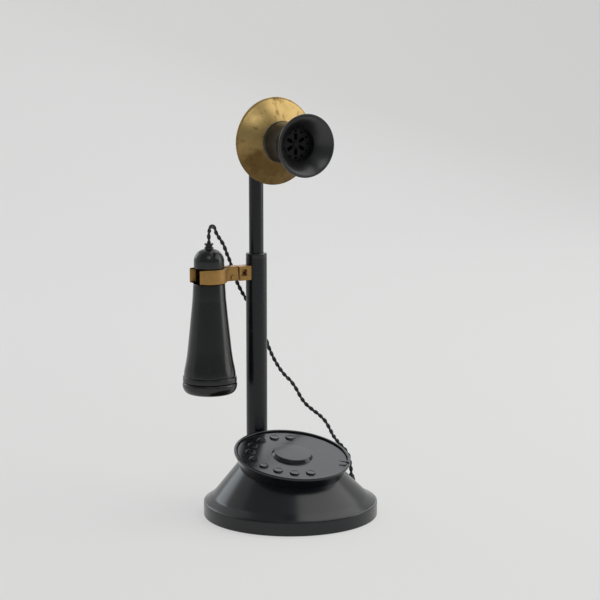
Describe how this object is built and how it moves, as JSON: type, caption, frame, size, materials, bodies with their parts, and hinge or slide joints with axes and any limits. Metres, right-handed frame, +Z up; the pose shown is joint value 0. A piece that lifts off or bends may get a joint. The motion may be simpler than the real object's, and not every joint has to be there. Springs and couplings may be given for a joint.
{
  "type": "candlestick telephone",
  "caption": "Candlestick telephone with a dial in its round black base, a two-stage stem, a tilting brass transmitter with a black mouthpiece and a receiver on a brass hook",
  "frame": {"origin": "middle of the underside of the round base, on the table", "axes": "+Z up; -Y the front, where the dial and the mouthpiece face; -X the side with the hook and the receiver"},
  "size_m": [0.13, 0.1377, 0.3106],
  "materials": {
    "enamel": "gloss",
    "bakelite": "gloss",
    "brass": "worn polish",
    "inner_brass": "satin",
    "steel": "satin",
    "magnet": "matt",
    "fibre": "matt",
    "rubber": "matt",
    "felt": "matt",
    "cloth": "woven"
  },
  "bodies": {
    "stand": {"base_pad": "felt", "base_plate": "steel", "plate_screws": "steel", "base_shell": "enamel", "stem_foot": "enamel", "foot_screws": "steel", "terminal_block": "fibre", "terminal_screws": "inner_brass", "cord_grommet": "rubber", "line_bush": "rubber", "inner_leads": "cloth", "dial_cup": "enamel", "dial_plate": "steel", "dial_plate_screws": "steel", "finger_stop": "enamel", "mech_plate": "steel", "mech_pillars": "inner_brass", "bridge_plate": "steel", "spindle_bush": "inner_brass", "impulse_springs": "inner_brass", "return_spring": "steel", "governor_drum": "inner_brass", "lower_tube": "enamel", "tube_nut": "enamel", "upper_tube": "enamel", "head_clevis": "enamel", "tilt_screw": "brass", "tilt_nut": "brass", "hook_bracket": "brass", "hook_pin": "steel", "hook_spring": "steel", "hook_contacts": "fibre", "receiver_cord_lower": "cloth"},
    "dial": {"finger_wheel": "enamel", "hub_cap": "enamel", "dial_spindle": "steel", "main_gear": "inner_brass", "impulse_wheel": "fibre"},
    "governor": {"governor_shaft": "steel", "governor_weights": "inner_brass"},
    "hook": {"hook_lever": "brass"},
    "receiver": {"receiver_body": "bakelite", "receiver_cap": "bakelite", "cord_ferrule": "enamel", "ear_cap": "bakelite", "receiver_diaphragm": "steel", "receiver_magnet": "magnet", "receiver_coils": "inner_brass", "receiver_cord_upper": "cloth"},
    "transmitter": {"transmitter_cup": "brass", "transmitter_face": "brass", "transmitter_diaphragm": "steel", "carbon_button": "inner_brass", "transmitter_bridge": "steel", "mouthpiece": "bakelite", "mouthpiece_grille": "bakelite"}
  },
  "joints": [
    {"name": "dial_turn", "type": "hinge", "parent": "stand", "child": "dial", "pos_m": [0, -0.003, 0.0464], "axis": [0, -0.213, 0.977], "range_deg": [-290, 0], "stiffness_Nm_per_rad": 0.008, "springref_deg": 114.59},
    {"name": "governor_spin", "type": "hinge", "parent": "stand", "child": "governor", "pos_m": [-0.02412, -0.003, 0.0464], "axis": [0, -0.213, 0.977], "range_deg": [0, 1160]},
    {"name": "hook_lift", "type": "hinge", "parent": "stand", "child": "hook", "pos_m": [-0.0222, 0.052, 0.1744], "axis": [0, 1, 0], "range_deg": [0, 7], "stiffness_Nm_per_rad": 0.02, "springref_deg": 20.05, "deforming": ["hook_spring", "receiver_cord_upper"]},
    {"name": "receiver_off", "type": "slide", "parent": "hook", "child": "receiver", "axis": [-1, 0, 0], "range_m": [0, 0.036], "deforming": ["receiver_cord_upper"]},
    {"name": "transmitter_tilt", "type": "hinge", "parent": "stand", "child": "transmitter", "pos_m": [0, 0.052, 0.2781], "axis": [1, 0, 0], "range_deg": [-20, 15]}
  ],
  "couplings": [
    {"joint": "governor_spin", "follows": "dial_turn", "ratio": -4}
  ]
}
